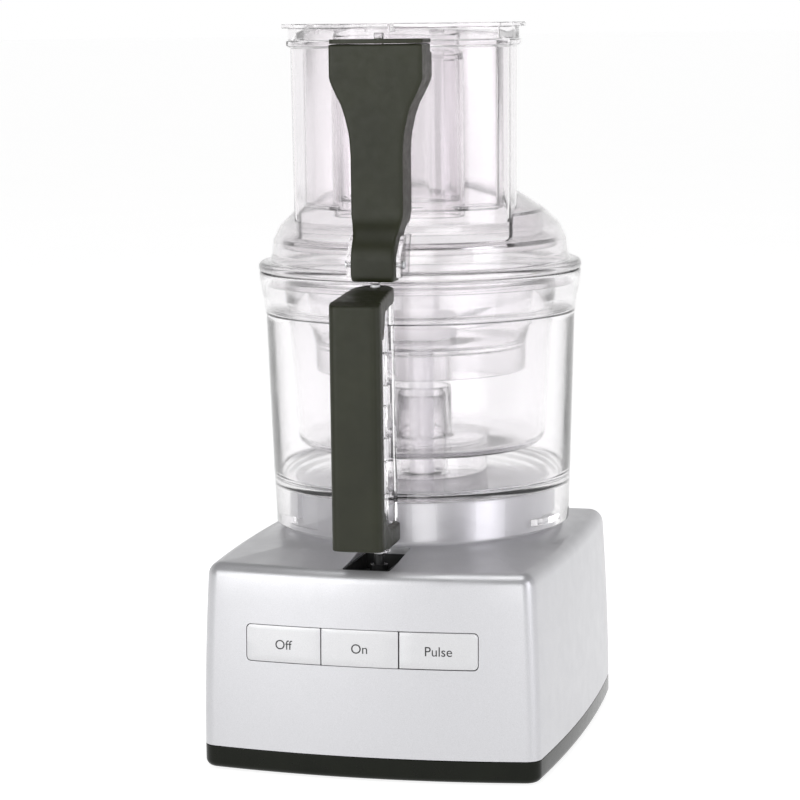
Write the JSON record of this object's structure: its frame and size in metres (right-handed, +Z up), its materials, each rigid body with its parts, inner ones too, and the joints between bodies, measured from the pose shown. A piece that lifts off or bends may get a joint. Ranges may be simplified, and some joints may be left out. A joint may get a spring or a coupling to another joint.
{
  "type": "food processor",
  "caption": "Countertop food processor: tapered motor base with push buttons, nested clear bowls, side handle, domed lid with wide feed tube and pushers.",
  "frame": {"origin": "on the floor, under the middle of the bounding box", "axes": "+Z up along the bowls' and motor's axis, -Y towards the buttons and the handle, +X to the right seen from the front"},
  "size_m": [0.2194, 0.267, 0.4528],
  "materials": {
    "silver_paint": "satin silver paint on moulded plastic",
    "button_silver": "satin silver paint",
    "black_plastic": "smooth black moulding",
    "olive_plastic": "fine satin, very dark olive-grey",
    "clear_plastic": "clear, glossy, faint grey-pink edges",
    "white_plastic": "satin white",
    "dark_plastic": "moulded inner part",
    "rubber": "matt",
    "steel": "brushed",
    "blade_steel": "ground and polished",
    "laminations": "stacked sheet steel",
    "copper": "enamelled copper wire",
    "board": "printed circuit board"
  },
  "bodies": {
    "base": {"base_housing": "silver_paint", "base_plate": "black_plastic", "foot_1": "rubber", "foot_2": "rubber", "foot_3": "rubber", "foot_4": "rubber", "base_screw_1": "steel", "base_screw_2": "steel", "base_screw_3": "steel", "base_screw_4": "steel", "recess_insert": "black_plastic", "interlock_switch": "dark_plastic", "cord_grommet": "black_plastic", "run_capacitor": "white_plastic", "button_carrier": "dark_plastic", "switch_board": "board", "motor_stator": "laminations", "stator_winding_bottom": "copper", "stator_winding_top": "copper", "motor_upper_bracket": "steel", "motor_lower_bracket": "steel", "upper_bearing": "steel", "lower_bearing": "steel", "motor_bolt_1": "steel", "motor_bolt_2": "steel", "motor_bolt_3": "steel", "motor_bolt_4": "steel", "shaft_seal": "rubber"},
    "off_key": {"off_button": "button_silver"},
    "on_key": {"on_button": "button_silver"},
    "pulse_key": {"pulse_button": "button_silver"},
    "interlock": {"interlock_plunger": "black_plastic"},
    "drive": {"motor_shaft": "steel", "motor_rotor": "laminations", "motor_fan": "black_plastic", "drive_spindle": "steel", "mini_blade_hub": "white_plastic", "mini_blade_low": "blade_steel", "mini_blade_high": "blade_steel"},
    "bowls": {"main_bowl": "clear_plastic", "handle_cover": "olive_plastic", "handle_screw": "steel", "midi_bowl": "clear_plastic", "mini_bowl": "clear_plastic", "bowl_rod_spring": "steel"},
    "bowl_safety_rod": {"bowl_rod": "clear_plastic"},
    "lid_group": {"lid": "clear_plastic", "lid_arm": "olive_plastic", "lid_arm_cap": "olive_plastic", "arm_screw_left": "steel", "arm_screw_right": "steel", "lid_rod_spring": "steel"},
    "lid_safety_rod": {"lid_rod": "olive_plastic"},
    "large_pusher_group": {"large_pusher": "clear_plastic"},
    "dosing_pusher_group": {"dosing_pusher": "clear_plastic"}
  },
  "joints": [
    {"name": "off_press", "type": "slide", "parent": "base", "child": "off_key", "axis": [0, 1, 0], "range_m": [0, 0.0015], "stiffness_N_per_m": 300},
    {"name": "on_press", "type": "slide", "parent": "base", "child": "on_key", "axis": [0, 1, 0], "range_m": [0, 0.0015], "stiffness_N_per_m": 300},
    {"name": "pulse_press", "type": "slide", "parent": "base", "child": "pulse_key", "axis": [0, 1, 0], "range_m": [0, 0.0015], "stiffness_N_per_m": 300},
    {"name": "drive_spin", "type": "hinge", "parent": "base", "child": "drive", "pos_m": [0, 0.0305, 0.1], "axis": [0, 0, 1], "continuous": true},
    {"name": "bowl_turn", "type": "hinge", "parent": "base", "child": "bowls", "pos_m": [0, 0.0305, 0.15], "axis": [0, 0, 1], "range_deg": [0, 30]},
    {"name": "lid_lift", "type": "slide", "parent": "bowls", "child": "lid_group", "axis": [0, 0, 1], "range_m": [0, 0.15]},
    {"name": "large_pusher_lift", "type": "slide", "parent": "lid_group", "child": "large_pusher_group", "axis": [0, 0, 1], "range_m": [0, 0.115]},
    {"name": "dosing_pusher_lift", "type": "slide", "parent": "large_pusher_group", "child": "dosing_pusher_group", "axis": [0, 0, 1], "range_m": [0, 0.1]},
    {"name": "lid_rod_slide", "type": "slide", "parent": "lid_group", "child": "lid_safety_rod", "axis": [0, 0, 1], "range_m": [0, 0.003], "deforming": ["lid_rod_spring"]},
    {"name": "bowl_rod_slide", "type": "slide", "parent": "bowls", "child": "bowl_safety_rod", "axis": [0, 0, 1], "range_m": [0, 0.003], "deforming": ["bowl_rod_spring"]},
    {"name": "interlock_slide", "type": "slide", "parent": "base", "child": "interlock", "axis": [0, 0, 1], "range_m": [0, 0.003]}
  ],
  "couplings": [
    {"joint": "lid_rod_slide", "follows": "large_pusher_lift", "ratio": 0.026087},
    {"joint": "bowl_rod_slide", "follows": "large_pusher_lift", "ratio": 0.026087},
    {"joint": "interlock_slide", "follows": "large_pusher_lift", "ratio": 0.026087}
  ]
}
